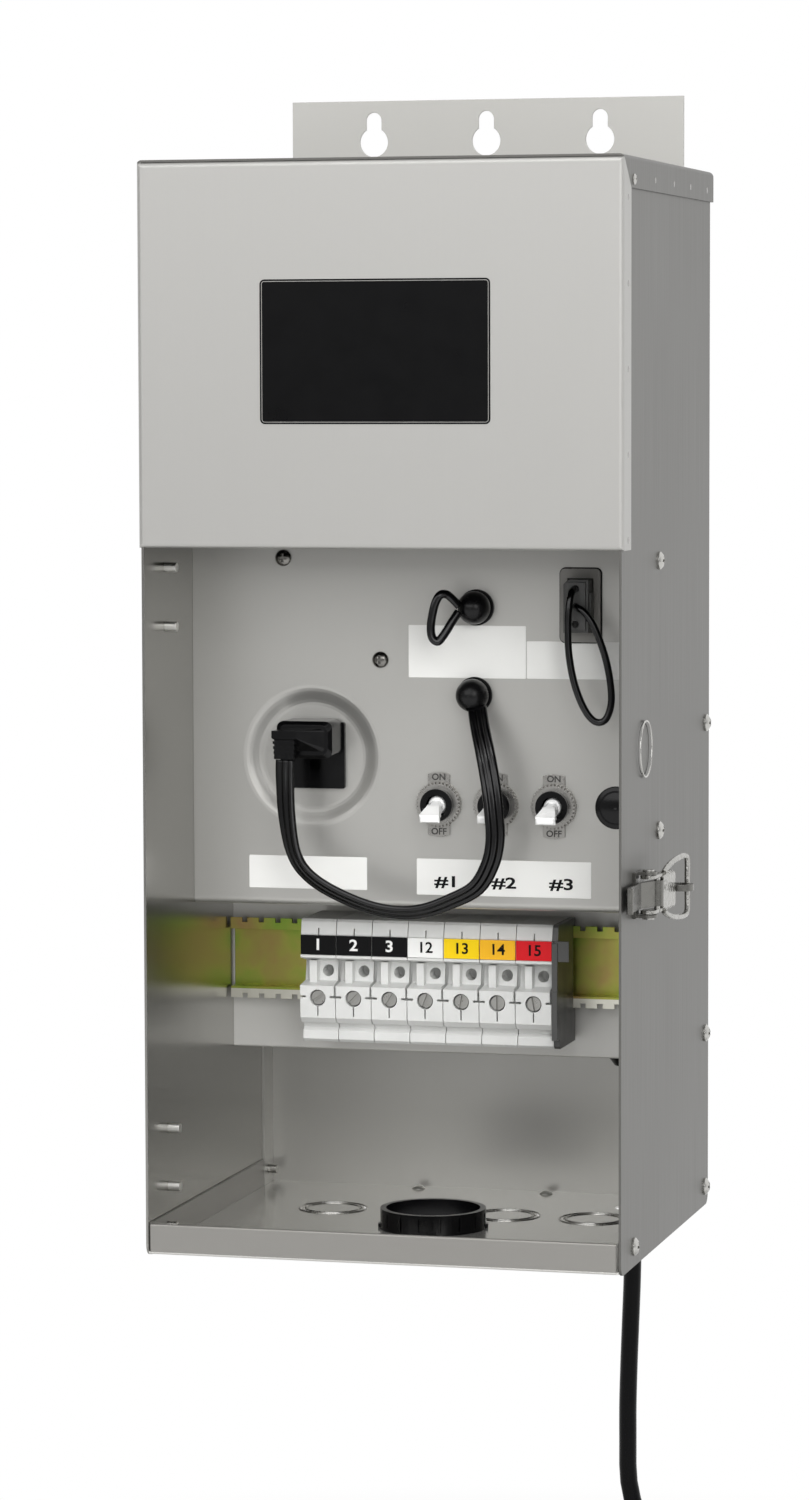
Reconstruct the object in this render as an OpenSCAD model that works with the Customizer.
// Low voltage landscape transformer for a wall: a stainless cabinet with the lower door off.
// The middle keyhole of the wall bracket is the origin, the wall is the plane y = 0,
// the front looks along -Y and the cabinet hangs below the bracket.
// A depth is measured back from the front cover, a drop down from the top of that cover.

/* [Cabinet] */
// Outer width across the side panels
case_w = 200; // [190:1:260]
// Depth from the wall to the face of the front cover
case_d = 187; // [180:1:240]
// Height of the side panels
case_h = 448; // [440:1:560]
// Thickness of the stainless sheet
sheet_t = 1; // [0.8:0.1:1.5]
// Outer radius of the sheets' bends
bend_r = 2; // [1.6:0.1:3]
// Space between the back panel and the wall
wall_gap = 4; // [3:0.5:8]
// Width of the flanges that join the sheets
flange_w = 15; // [12:0.5:20]
// Radius of the side panels' lower corners
corner_r = 5; // [2:0.5:10]

/* [Cover, lid and bracket] */
// Height of the front cover
cover_h = 156; // [140:1:170]
// Depth of the cover's side flanges
cover_flange_d = 14.5; // [10:0.5:18]
// Depth of the cover's top and bottom returns
cover_return_d = 10; // [6:0.5:12]
// Height of the lid's side flanges
lid_flange_h = 13; // [9:0.5:18]
// Distance from the keyholes' centres down to the top of the cover
keyhole_rise = 16; // [14:0.5:24]
// Pitch of the keyholes
keyhole_pitch = 50.8; // [40:0.1:60]
// Width of the round part of a keyhole
keyhole_d = 12.8; // [10:0.1:14]
// Width of a keyhole's neck
neck_w = 7; // [5:0.1:8]
// Height of the neck's end above the keyhole's centre
neck_rise = 13; // [11:0.5:15]
// Width of the wall bracket
bracket_w = 175.6; // [150:0.1:180]
// Height of the bracket above the keyholes' centres
bracket_rise = 18; // [16:0.5:24]
// Thickness of the wall bracket
bracket_t = 1.5; // [1.2:0.1:2.5]

/* [Floor] */
// Height of the floor tray's upturned edges
lip_h = 12.6; // [10:0.1:16]
// Width of a floor knockout
knockout_d = 28.6; // [22:0.1:30]
// Pitch of the floor knockouts
knockout_pitch = 38.5; // [34:0.1:42]
// Depth of the knockouts' centres
knockout_depth = 119; // [110:1:125]
// Inner width of the conduit bushing
bushing_bore_d = 40; // [30:0.5:42]
// Wall of the conduit bushing
bushing_wall = 2.4; // [1.6:0.1:3]
// Height of the bushing above the floor
bushing_rise = 8.5; // [6:0.5:12]
// Depth of the bushing's axis
bushing_depth = 84; // [74:1:88]
// Width of the cable knockout in the right side
side_knockout_d = 22; // [18:0.5:26]

/* [Control panel] */
// Depth of the control panel's face
panel_depth = 68; // [64:1:74]
// Height of the control panel's lower edge above the cabinet's foot
panel_rise = 139.5; // [132:0.5:148]
// Pitch of the three circuit switches
switch_pitch = 24.6; // [22:0.1:25]
// Outer radius of the timer recess
dish_r = 30; // [27:0.5:32]
// Radius of the flat bottom of the timer recess
dish_flat_r = 21.4; // [20.5:0.1:24]
// Depth of the timer recess below the panel
dish_depth = 3; // [2:0.5:5]
// Width of the timer receptacle
outlet_w = 28; // [24:0.5:28.5]
// Turn of a switch lever from OFF to ON, in degrees
lever_throw = 35; // [24:1:40]

/* [Terminals] */
// Depth of the terminal panel's face
rail_panel_depth = 125; // [118:1:128]
// Height of the terminal panel's lower edge above the cabinet's foot
rail_panel_rise = 70.5; // [64:0.5:78]
// Width of the mounting rail
rail_w = 35; // [34:0.5:36]
// Depth of the mounting rail
rail_depth = 7.5; // [7:0.1:9]
// Pitch of the teeth cut in the rail's lips
tooth_pitch = 7.5; // [6:0.1:9]
// Width of one tooth
tooth_w = 5.2; // [4:0.1:5.6]
// Pitch of the terminal blocks
block_pitch = 15.7; // [14.5:0.1:16]
// Width of a clamp screw's head
clamp_screw_d = 6; // [5:0.1:6.5]

/* [Transformer] */
// Outer width of the toroidal winding
toroid_d = 140; // [120:1:146]
// Height of the winding along its axis
toroid_h = 62; // [50:1:70]
// Width of the winding's bore
toroid_bore_d = 42; // [30:1:50]
// Thickness of each rubber pad
pad_t = 3; // [2:0.5:4]

/* [Latch] */
// Height of the latch's middle above the cabinet's foot
latch_rise = 152; // [138:1:168]
// Width of the latch's lever
lever_w = 15.6; // [14:0.1:18]
// Diameter of the latch's wire
latch_wire_d = 2.4; // [1.8:0.1:3]
// Rise of the lever from the side panel at rest, in degrees
lever_lift = 8; // [4:1:12]

/* [Power cord] */
// Diameter of the power cord
cord_d = 7.6; // [7:0.1:8]
// Turns in the stored coil
coil_turns = 6; // [6:1:6]
// Radius of the coil's outermost turn, at the cord's middle
coil_r = 55; // [54:0.5:56]
// Gap between neighbouring turns
coil_gap = 0.6; // [0.5:0.05:0.8]

/* [Hidden] */
$fn = 48;

steel = "#b9b8b4";
bright_steel = "#d4d3d0";
dark_steel = "#8f8e8a";
zinc = "#b5b04a";
black = "#1c1c1d";
block_grey = "#c9cac8";

// One overrun for every cut, and one clearance round what passes through a hole
over = 1;
fit_gap = 0.2;
// Gap between a moving piece and its neighbours, and the running clearance of a pin
move_gap = 0.35;
run_gap = 0.05;

// Main planes of the cabinet
top_z = -keyhole_rise;
bottom_z = top_z - case_h;
front_y = -case_d;
back_y = -wall_gap;
side_x = case_w / 2;
inner_x = side_x - sheet_t;
back_face_y = back_y - sheet_t;
floor_z = bottom_z + 2 * sheet_t;
function down(drop) = top_z - drop;
function deep(depth) = front_y + depth;

module at_side(s, depth, drop) {
  translate([s * side_x, deep(depth), down(drop)])
    rotate([0, s * 90, 0])
      children();
}

// Turns children drawn along +Z so that they point out of the cabinet, along -Y
module facing(x, y, z) {
  translate([x, y, z])
    rotate([90, 0, 0])
      children();
}

// Stands an outline up: it is drawn as seen from the front and runs back from the plane y
module stand(x, y, z, depth) {
  facing(x, y, z)
    translate([0, 0, -depth])
      linear_extrude(depth)
        children();
}

// Extrudes an outline drawn as [y, z] along X, centred on x = 0
module along_x(length) {
  rotate([90, 0, 90])
    linear_extrude(length, center = true)
      children();
}

// Draws children drawn as [depth, drop]
module from_front() {
  translate([front_y, top_z])
    mirror([0, 1])
      children();
}

module box_between(a, b) {
  low = [for (i = [0 : 2]) min(a[i], b[i])];
  translate(low)
    cube([for (i = [0 : 2]) abs(b[i] - a[i])]);
}

// A rectangle with round corners, drawn from squares and circles
module round_rect(w, h, r) {
  square([w - 2 * r, h], center = true);
  square([w, h - 2 * r], center = true);
  for (x = [-1, 1])
    for (y = [-1, 1])
      translate([x * (w / 2 - r), y * (h / 2 - r)])
        circle(r = r);
}

// A low dome of radius a and height h
module dome(a, h) {
  big_r = (a * a + h * h) / (2 * h);
  intersection() {
    translate([0, 0, h - big_r])
      sphere(r = big_r, $fn = 64);
    cylinder(h = h, r = a);
  }
}

// A pan head with a cross recess, its seat at z = 0 and its shank below
module pan_screw(shank_d, shank_l, head_d, head_h) {
  recess_w = head_d / 7;
  difference() {
    union() {
      cylinder(h = head_h / 3, d = head_d);
      translate([0, 0, head_h / 3])
        dome(head_d / 2, head_h * 2 / 3);
      translate([0, 0, -shank_l])
        cylinder(h = shank_l + head_h / 3, d = shank_d);
    }
    for (a = [0, 90])
      rotate([0, 0, a])
        translate([-head_d / 4, -recess_w / 2, head_h * 0.45])
          cube([head_d / 2, recess_w, head_h]);
  }
}

// A round-headed rivet through a stack of sheets, its seat at z = 0
module rivet(d, stack) {
  dome(d * 0.95, d / 2);
  translate([0, 0, -stack])
    cylinder(h = stack + d / 8, d = d);
}

module hole(d, through) {
  cylinder(h = 2 * through + 2 * over, d = d + 2 * fit_gap, center = true);
}

module side_holes(places, s, d) {
  for (p = places)
    at_side(s, p[0], p[1])
      hole(d, 2 * sheet_t);
}

// Sweeps. A route is a list of points, smoothed through all of them.
function unit(v) = v / norm(v);
function blend_points(a, b, c, d, t) =
  0.5 * (2 * b + (c - a) * t + (2 * a - 5 * b + 4 * c - d) * t * t
    + (3 * b - a - 3 * c + d) * t * t * t);
function smooth_route(p, steps) =
  [for (i = [0 : len(p) - 2]) for (s = [0 : steps - 1])
    blend_points(p[max(i - 1, 0)], p[i], p[i + 1], p[min(i + 2, len(p) - 1)], s / steps),
    p[len(p) - 1]];
// Moves a route's points, given from its start, so that it runs from the place a to the place b
function hung(points, a, b) =
  let (n = len(points) - 1, rest = b - a - points[n])
    [for (i = [0 : n]) a + points[i] + rest * i / n];
function heading(p, i) = unit(p[min(i + 1, len(p) - 1)] - p[max(i - 1, 0)]);
function circle_points(r, sides) =
  [for (k = [0 : sides - 1]) [r * cos(360 * k / sides), r * sin(360 * k / sides)]];

// Sweeps an outline of [across, up] points along a path, with an up direction for each point.
module sweep(path, outline, ups) {
  rings = len(path);
  sides = len(outline);
  points = [for (i = [0 : rings - 1])
    let (t = heading(path, i), x = unit(cross(t, ups[i])), u = cross(x, t))
      for (q = outline) path[i] + q[0] * x + q[1] * u];
  walls = [for (i = [0 : rings - 2]) for (k = [0 : sides - 1])
    let (a = i * sides + k, b = i * sides + (k + 1) % sides)
      each [[a, b, a + sides], [b, b + sides, a + sides]]];
  last = (rings - 1) * sides;
  start = [for (k = [1 : sides - 2]) [0, k + 1, k]];
  end = [for (k = [1 : sides - 2]) [last, last + k, last + k + 1]];
  polyhedron(points, concat(walls, start, end));
}

module tube(path, d, sides, up) {
  sweep(path, circle_points(d / 2, sides), [for (p = path) up]);
}

// The open lower bay is measured up from the cabinet's foot. The places on the control panel
// are measured down from that panel's top edge.
panel_h = 170.5;
panel_bottom = case_h - panel_rise;
panel_top = panel_bottom - panel_h;
rail_panel_bottom = case_h - rail_panel_rise;
latch_drop = case_h - latch_rise;

// Joining screws of the cabinet, as [depth, drop]
case_screw_d = 4;
case_screw_l = 6;
case_head_d = 7.4;
case_head_h = 2.6;
control_screw_in = 6;
control_screws_below = [24.5, 136];
rear_screw_rises = [211.5, 76];
floor_screw_rise = 8.5;
floor_screw_depth = 25;
hinge_depth = 30;
hinge_below_cover = 9;
hinge_rise = 49;
hinge_screw_pitch = 24.5;
lid_screw_d = 2.6;
lid_screw_depth = 19;
lid_screw_drop = 8.5;
rear_screw_depth = case_d - wall_gap - sheet_t - flange_w / 2;
control_screws = [for (z = control_screws_below) [panel_depth + control_screw_in, panel_top + z]];
rear_screws = [for (z = concat(rear_screw_rises, [floor_screw_rise])) [rear_screw_depth, case_h - z]];
floor_screws = [[floor_screw_depth, case_h - floor_screw_rise]];
hinge_places = [for (z = [cover_h + hinge_below_cover, case_h - hinge_rise]) for (i = [0, 1])
  [hinge_depth, z + i * hinge_screw_pitch]];
lid_screws = [[lid_screw_depth, lid_screw_drop]];
side_screws = concat(control_screws, rear_screws, floor_screws);

// Rivets of the bracket and of the floor
rivet_d = 3.2;
rivet_x = 29;
rivet_y = back_face_y - 2 * rivet_d;
bracket_foot = 34;
bracket_rivets = [for (x = [-1.5, 1.5]) for (z = [0.45, 0.8])
  [x * keyhole_pitch, top_z - z * bracket_foot]];

// Cabinet sheets

module side_outline() {
  front = deep(sheet_t);
  difference() {
    translate([front, bottom_z])
      square([back_y - front, case_h]);
    for (c = [[front, 1], [back_y, -1]])
      translate([c[0], bottom_z])
        difference() {
          translate([min(0, c[1] * corner_r), 0])
            square(corner_r);
          translate([c[1] * corner_r, corner_r])
            circle(r = corner_r);
        }
  }
}

module side_sheet(s) {
  color(steel)
    difference() {
      translate([s * (side_x - sheet_t / 2), 0, 0])
        along_x(sheet_t)
          side_outline();
      side_holes(side_screws, s, case_screw_d);
      side_holes(lid_screws, s, lid_screw_d);
      children();
    }
}

module side_panel_left() {
  side_sheet(-1)
    side_holes(hinge_places, -1, case_screw_d);
}

// The right side has a cable knockout: a ring scored in the sheet, open over its rear half.
side_knockout_depth = 44;
side_knockout_rise = 210;
score_w = 0.7;
module side_panel_right() {
  r = side_knockout_d / 2;
  side_sheet(1)
    union() {
      for (y = latch_rivets_back)
        at_side(1, latch_pin_depth + y, latch_drop)
          hole(latch_rivet_d, 2 * sheet_t);
      at_side(1, side_knockout_depth, case_h - side_knockout_rise) {
        difference() {
          translate([0, 0, -sheet_t / 2])
            cylinder(h = sheet_t, r = r);
          cylinder(h = 4 * sheet_t, r = r - score_w, center = true);
        }
        difference() {
          cylinder(h = 4 * sheet_t, r = r, center = true);
          translate([0, -1.6 * score_w, 0])
            cylinder(h = 5 * sheet_t, r = r, center = true);
        }
      }
    }
}

module back_panel() {
  color(dark_steel)
    difference() {
      union() {
        box_between([-inner_x, back_face_y, bottom_z], [inner_x, back_y, top_z]);
        for (s = [-1, 1])
          box_between([s * inner_x, back_y - flange_w, bottom_z],
            [s * (inner_x - sheet_t), back_y, top_z]);
        box_between([-inner_x, back_y - flange_w, bottom_z], [inner_x, back_y, bottom_z + sheet_t]);
      }
      for (s = [-1, 1])
        side_holes(rear_screws, s, case_screw_d);
      for (s = [-1, 1])
        translate([s * rivet_x, rivet_y, bottom_z])
          hole(rivet_d, sheet_t);
      for (p = bracket_rivets)
        facing(p[0], back_y, p[1])
          hole(rivet_d, sheet_t);
      on_axis(back_y)
        hole(stud_d, sheet_t);
    }
}

// The bracket stands on the back panel and steps out to the wall behind the lid.
bracket_step = 6;
module wall_bracket() {
  foot_z = top_z - bracket_foot;
  z1 = top_z - 1.5 * bracket_step;
  z2 = top_z - bracket_step / 2;
  color(steel)
    difference() {
      along_x(bracket_w)
        polygon([[back_y, foot_z], [back_y + bracket_t, foot_z], [back_y + bracket_t, z1],
          [0, z2], [0, bracket_rise], [-bracket_t, bracket_rise], [-bracket_t, z2], [back_y, z1]]);
      for (i = [-1, 0, 1])
        stand(i * keyhole_pitch, -2 * bracket_t, 0, 3 * bracket_t) {
          circle(d = keyhole_d);
          translate([-neck_w / 2, 0])
            square([neck_w, neck_rise - neck_w / 2]);
          translate([0, neck_rise - neck_w / 2])
            circle(d = neck_w);
        }
      for (p = bracket_rivets)
        facing(p[0], back_y, p[1])
          hole(rivet_d, bracket_t);
    }
}

// Lid: a shallow channel, its flanges cut back at a slant to meet the cover's
lid_start = 1;
lid_round_r = 3;
lid_rear_y = -bracket_t - fit_gap;
module lid() {
  outer_x = side_x + sheet_t;
  lid_top = top_z + sheet_t;
  low = lid_top - lid_flange_h;
  first = deep(lid_start);
  full = deep(cover_flange_d);
  last = lid_rear_y - lid_round_r;
  color(steel)
    difference() {
      intersection() {
        facing(0, lid_rear_y, low)
          linear_extrude(lid_rear_y - front_y)
            intersection() {
              round_rect(2 * outer_x, 2 * lid_flange_h, bend_r);
              translate([-outer_x, 0])
                square([2 * outer_x, lid_flange_h]);
            }
        along_x(3 * outer_x) {
          polygon([[first, lid_top], [first, top_z], [full, low], [last, low], [last, lid_top]]);
          translate([last, low])
            square([lid_round_r, lid_flange_h - lid_round_r]);
          translate([last, lid_top - lid_round_r])
            circle(r = lid_round_r);
        }
      }
      box_between([-side_x, front_y, low - over], [side_x, 0, top_z]);
      for (s = [-1, 1])
        side_holes(lid_screws, s, lid_screw_d);
    }
}

module front_cover() {
  inside = deep(sheet_t);
  outer_w = case_w + 2 * sheet_t;
  slot_x = inner_x - fit_gap;
  low = down(cover_h);
  color(bright_steel)
    difference() {
      intersection() {
        translate([0, front_y + case_d / 2, low])
          linear_extrude(cover_h)
            round_rect(outer_w, case_d, bend_r);
        along_x(2 * outer_w)
          translate([front_y + case_d / 2, top_z - cover_h / 2])
            round_rect(case_d, cover_h, bend_r);
        box_between([-side_x - sheet_t, front_y, low], [side_x + sheet_t, deep(cover_flange_d), top_z]);
      }
      // Slots for the side panels' front edges, then the hollow between the returns
      for (s = [-1, 1])
        box_between([s * slot_x, inside, low - over], [s * side_x, 0, 0]);
      box_between([-side_x, inside, low + sheet_t], [side_x, 0, top_z - sheet_t]);
      box_between([-side_x, deep(cover_return_d), bottom_z], [side_x, 0, 0]);
      // Slant that the lid's flanges meet
      for (s = [-1, 1])
        translate([s * (side_x + sheet_t), 0, 0])
          along_x(2 * sheet_t)
            polygon([[deep(lid_start), top_z], [deep(cover_flange_d), top_z + sheet_t - lid_flange_h],
              [0, top_z + sheet_t - lid_flange_h], [0, top_z]]);
    }
}

// Floor: its bushing, its knockouts and the hole for the power cord
bushing_x = 1;
bushing_od = bushing_bore_d + 2 * bushing_wall;
knockout_x = 5;
cord_x = 72;
cord_y = -37;
cord_hole_d = cord_d + 5;
// The floor and its upturned edges are two flat-walled pieces, parted at the floor's upper face.
module floor_sheet() {
  front = deep(sheet_t / 2);
  lip_x = inner_x - sheet_t;
  low = floor_z - sheet_t;
  difference() {
    union() {
      box_between([-inner_x, front + sheet_t, low], [inner_x, back_face_y, floor_z]);
      // Front lip, rounded where it is bent up
      along_x(2 * lip_x)
        translate([front, low])
          intersection() {
            translate([4 * bend_r, lip_h / 2])
              round_rect(8 * bend_r, lip_h, 0.9 * sheet_t);
            square([4 * bend_r, lip_h]);
          }
      for (s = [-1, 1])
        box_between([s * inner_x, front + 3 * sheet_t, low],
          [s * lip_x, back_face_y - flange_w, low + lip_h]);
    }
    box_between([-lip_x, front + sheet_t, floor_z], [lip_x, back_face_y, top_z]);
    // Corners that clear the back panel's side flanges
    for (s = [-1, 1])
      box_between([s * (lip_x - fit_gap), back_y - flange_w - fit_gap, bottom_z], [s * side_x, 0, 0]);
  }
}

module floor_edges() {
  color(steel)
    difference() {
      floor_sheet();
      box_between([-side_x, front_y, bottom_z], [side_x, 0, floor_z]);
      for (s = [-1, 1])
        side_holes(floor_screws, s, case_screw_d);
    }
}

module floor_tray() {
  color(steel)
    difference() {
      floor_sheet();
      box_between([-side_x, front_y, floor_z], [side_x, 0, top_z]);
      for (s = [-1, 1])
        translate([s * rivet_x, rivet_y, floor_z])
          hole(rivet_d, sheet_t);
      translate([bushing_x, deep(bushing_depth), floor_z])
        hole(bushing_od, sheet_t);
      translate([cord_x, cord_y, floor_z])
        hole(cord_hole_d, sheet_t);
      for (i = [-1.5, -0.5, 0.5, 1.5])
        translate([knockout_x + i * knockout_pitch, deep(knockout_depth), floor_z])
          knockout_ring();
    }
}

// A ring cut through but for two ties, and a scored ring inside it
module knockout_ring() {
  r = knockout_d / 2;
  difference() {
    cylinder(h = 4 * sheet_t, r = r, center = true);
    cylinder(h = 5 * sheet_t, r = r - score_w, center = true);
    cube([2 * knockout_d, knockout_d / 8, 6 * sheet_t], center = true);
  }
  difference() {
    cylinder(h = sheet_t, r = r - 2 * score_w, center = true);
    cylinder(h = 2 * sheet_t, r = r - 3 * score_w, center = true);
  }
}

// Snap bushing for the low voltage cables: a flange below the floor, a slotted sleeve above
bushing_slots = 16;
bushing_flange = [4, 1.8];
bushing_nub = [0.9, 4, 1.6];
bushing_slot_w = 0.9;
bushing_rim_h = 1.4;
module conduit_bushing() {
  r = bushing_od / 2;
  low = floor_z - sheet_t - bushing_flange[1];
  slot_z = floor_z + bushing_rim_h;
  color(black)
    translate([bushing_x, deep(bushing_depth), 0])
      difference() {
        union() {
          translate([0, 0, low])
            cylinder(h = bushing_flange[1], r = r + bushing_flange[0], $fn = 96);
          translate([0, 0, low])
            cylinder(h = floor_z + bushing_rise - low, r = r, $fn = 96);
          // Snap nubs just above the floor
          for (a = [0 : 90 : 359])
            rotate([0, 0, a + 12])
              translate([r - bushing_wall / 2, -bushing_nub[1] / 2, floor_z + fit_gap])
                cube(bushing_nub + [bushing_wall / 2, 0, 0]);
        }
        translate([0, 0, low - over])
          cylinder(h = floor_z + bushing_rise - low + 2 * over, d = bushing_bore_d, $fn = 96);
        // Slots that let the sleeve flex, closed by the rim at the top
        for (i = [0 : bushing_slots - 1])
          rotate([0, 0, i * 360 / bushing_slots])
            translate([r - 0.45 * bushing_wall, -bushing_slot_w, slot_z])
              cube([bushing_wall, (i % 4 == 0 ? 2 : 1) * bushing_slot_w,
                floor_z + bushing_rise - bushing_rim_h - slot_z]);
      }
}

// Control panel with the pressed timer recess
panel_y = deep(panel_depth);
outlet_x = -47.1;
outlet_below = 107;
outlet_drop = panel_top + outlet_below;
dish_aside = 0.1;
dish_x = outlet_x + dish_aside;
dish_drop = outlet_drop + sheet_t / 2;
dish_steps = 7;
grommet_x = 23.5;
grommet_below = 80.6;
grommet_drop = panel_top + grommet_below;
loop_x = 24.3;
loop_below = 44.2;
loop_drop = panel_top + loop_below;
grommet_r = 6.9;
grommet_neck_d = 9;
socket_x = 68.6;
socket_below = 43;
socket_drop = panel_top + socket_below;
socket_wall = 1.4;
jumper_w = 10.4;
jumper_h = 21.8;
switch_x = 8.1;
switch_below = 126.6;
switch_drop = panel_top + switch_below;
switch_bore_d = 12;
plug_x = 83.5;
plug_drop = switch_drop;
plug_hole_d = 14;
// Screws of the panel, as [x, distance below its top edge]
panel_screw_places = [[-59, 24.3], [-17, 66.5]];
panel_screw_d = 3.5;
panel_screw_l = 8;
panel_head_d = 6.8;
panel_head_h = 2.4;
rail_panel_y = deep(rail_panel_depth);
ledge_r = 3;

function switch_at(i) = switch_x + i * switch_pitch;
function grown(size, gap) = [size[0] + 2 * gap, size[1] + 2 * gap];
socket_size = grown([jumper_w, jumper_h], move_gap + socket_wall);

module on_panel(x, drop) {
  facing(x, panel_y, down(drop))
    children();
}

// Wall of the recess: it leaves the panel and meets the flat bottom in a smooth S.
function dish_wall(grow) = [for (k = [0 : dish_steps]) let (u = k / dish_steps)
  [dish_r - u * (dish_r - dish_flat_r) + grow, dish_depth * (1 - cos(180 * u)) / 2 + grow]];

// Half section of the recess, as [radius, depth]
module dish_section(rise, grow) {
  polygon(concat([[0, -rise], [dish_r + grow, -rise]], dish_wall(grow), [[0, dish_depth + grow]]));
}

module control_panel() {
  t = sheet_t;
  low = down(panel_bottom);
  high = down(panel_top);
  color(steel)
    difference() {
      union() {
        // Front, ledge and top return in one bent sheet, rounded at the lower edge
        along_x(2 * inner_x) {
          translate([panel_y, low + ledge_r])
            square([t, high - low - ledge_r]);
          translate([panel_y + ledge_r, low])
            square([rail_panel_y - panel_y - ledge_r, t]);
          translate([panel_y, high - t])
            square([flange_w, t]);
          translate([panel_y + ledge_r, low + ledge_r])
            intersection() {
              difference() {
                circle(r = ledge_r);
                circle(r = ledge_r - t);
              }
              translate([-ledge_r, -ledge_r])
                square(ledge_r);
            }
        }
        for (s = [-1, 1])
          box_between([s * inner_x, panel_y + t, low + 2 * ledge_r],
            [s * (inner_x - t), panel_y + flange_w, high]);
        translate([dish_x, panel_y, down(dish_drop)])
          rotate([-90, 0, 0])
            rotate_extrude($fn = 96)
              dish_section(0, t);
      }
      translate([dish_x, panel_y, down(dish_drop)])
        rotate([-90, 0, 0])
          rotate_extrude($fn = 96)
            dish_section(over, 0);
      stand(outlet_x, panel_y, down(outlet_drop), dish_depth + 4 * t)
        square(outlet_w - 2 * outlet_rim + 2 * fit_gap, center = true);
      stand(socket_x, panel_y - over, down(socket_drop), t + 2 * over)
        square(grown(socket_size, fit_gap), center = true);
      for (i = [0 : 2])
        on_panel(switch_at(i), switch_drop)
          hole(switch_bore_d, t);
      on_panel(grommet_x, grommet_drop)
        hole(grommet_neck_d, t);
      on_panel(loop_x, loop_drop)
        hole(grommet_neck_d, t);
      on_panel(plug_x, plug_drop)
        hole(plug_hole_d, t);
      for (p = panel_screw_places)
        on_panel(p[0], panel_top + p[1])
          hole(panel_screw_d, t);
      for (s = [-1, 1])
        side_holes(control_screws, s, case_screw_d);
    }
}

// Terminal panel: upright sheet under the control panel's ledge, and a return at its foot
relief_hole_d = 16;
module terminal_panel() {
  t = sheet_t;
  low = down(rail_panel_bottom);
  rear = back_y - flange_w;
  color(steel)
    difference() {
      along_x(2 * inner_x) {
        translate([rail_panel_y, low + t])
          square([t, down(panel_bottom) - low]);
        translate([rail_panel_y + t, low + t])
          circle(r = t);
        translate([rail_panel_y + t, low])
          square([rear - rail_panel_y - t, t]);
        translate([rear - t, low])
          square([t, flange_w / 2]);
      }
      translate([cord_x, cord_y, low])
        hole(relief_hole_d, t);
      for (x = rail_screw_xs)
        facing(x, rail_panel_y, rail_z)
          hole(case_screw_d, t);
    }
}

// Mounting rail with toothed lips
rail_rise = 110.4;
rail_mid = case_h - rail_rise;
rail_z = down(rail_mid);
rail_t = 1;
rail_side_gap = 1;
rail_l = 2 * (inner_x - rail_side_gap);
rail_lip = 4;
notch_h = 2;
rail_screw_xs = [-34, 34];
module mounting_rail() {
  web_w = rail_w - 2 * rail_lip;
  front = rail_panel_y - rail_depth;
  color(zinc)
    difference() {
      along_x(rail_l)
        translate([rail_panel_y, rail_z]) {
          translate([-rail_t, -web_w / 2])
            square([rail_t, web_w]);
          for (s = [0, 1])
            mirror([0, s]) {
              translate([-rail_depth, web_w / 2 - rail_t])
                square([rail_depth, rail_t]);
              translate([-rail_depth, web_w / 2 - rail_t])
                square([rail_t, rail_lip + rail_t]);
            }
        }
      for (x = [tooth_w - rail_l / 2 : tooth_pitch : rail_l / 2])
        for (s = [-1, 1])
          box_between([x, front - over, rail_z + s * (rail_w / 2 - notch_h)],
            [x + tooth_pitch - tooth_w, front + rail_t + fit_gap, rail_z + s * (rail_w / 2 + over)]);
      for (x = rail_screw_xs)
        facing(x, rail_panel_y, rail_z)
          hole(case_screw_d, 2 * rail_t);
    }
}

// Fasteners

module case_screws() {
  color(bright_steel)
    for (s = [-1, 1]) {
      for (p = side_screws)
        at_side(s, p[0], p[1])
          pan_screw(case_screw_d, case_screw_l, case_head_d, case_head_h);
      at_side(s, lid_screw_depth, lid_screw_drop)
        translate([0, 0, sheet_t])
          pan_screw(lid_screw_d, 1.5 * lid_screw_d, 1.7 * lid_screw_d, lid_screw_d / 2);
    }
}

module hinge_screws() {
  color(bright_steel)
    for (p = hinge_places)
      at_side(-1, p[0], p[1])
        pan_screw(case_screw_d, case_screw_l, case_head_d, case_head_h);
}

module floor_rivets() {
  color(bright_steel) {
    for (s = [-1, 1])
      translate([s * rivet_x, rivet_y, floor_z])
        rivet(rivet_d, 2 * sheet_t);
    for (p = bracket_rivets)
      facing(p[0], back_face_y, p[1])
        rivet(rivet_d, bracket_t + sheet_t);
  }
}

module panel_screws() {
  color(dark_steel)
    for (p = panel_screw_places)
      on_panel(p[0], panel_top + p[1])
        pan_screw(panel_screw_d, panel_screw_l, panel_head_d, panel_head_h);
}

module rail_screws() {
  color(bright_steel)
    for (x = rail_screw_xs)
      facing(x, rail_panel_y - rail_t, rail_z)
        pan_screw(case_screw_d, case_screw_l, case_head_d, case_head_h);
}

// Toroidal transformer on a stud of the back panel, its axis along Y
toroid_drop = 74;
stud_d = 8;
stud_out = 16;
pad_y = back_face_y - pad_t;
toroid_front = pad_y - toroid_h;
module on_axis(y) {
  facing(0, y, down(toroid_drop))
    children();
}

module toroid_winding() {
  ring_w = (toroid_d - toroid_bore_d) / 2;
  color("#3f4146")
    on_axis(pad_y - toroid_h / 2)
      rotate_extrude($fn = 96)
        translate([toroid_bore_d / 2 + ring_w / 2, 0])
          round_rect(ring_w, toroid_h, min(ring_w, toroid_h) / 3);
}

module pad(y, hole_d) {
  color(black)
    on_axis(y)
      difference() {
        cylinder(h = pad_t, d = toroid_d * 0.92, $fn = 96);
        translate([0, 0, -over])
          cylinder(h = pad_t + 2 * over, d = hole_d);
      }
}

module pad_rear() pad(back_face_y, stud_d + 2 * fit_gap);
module pad_front() pad(toroid_front, toroid_bore_d);

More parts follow.
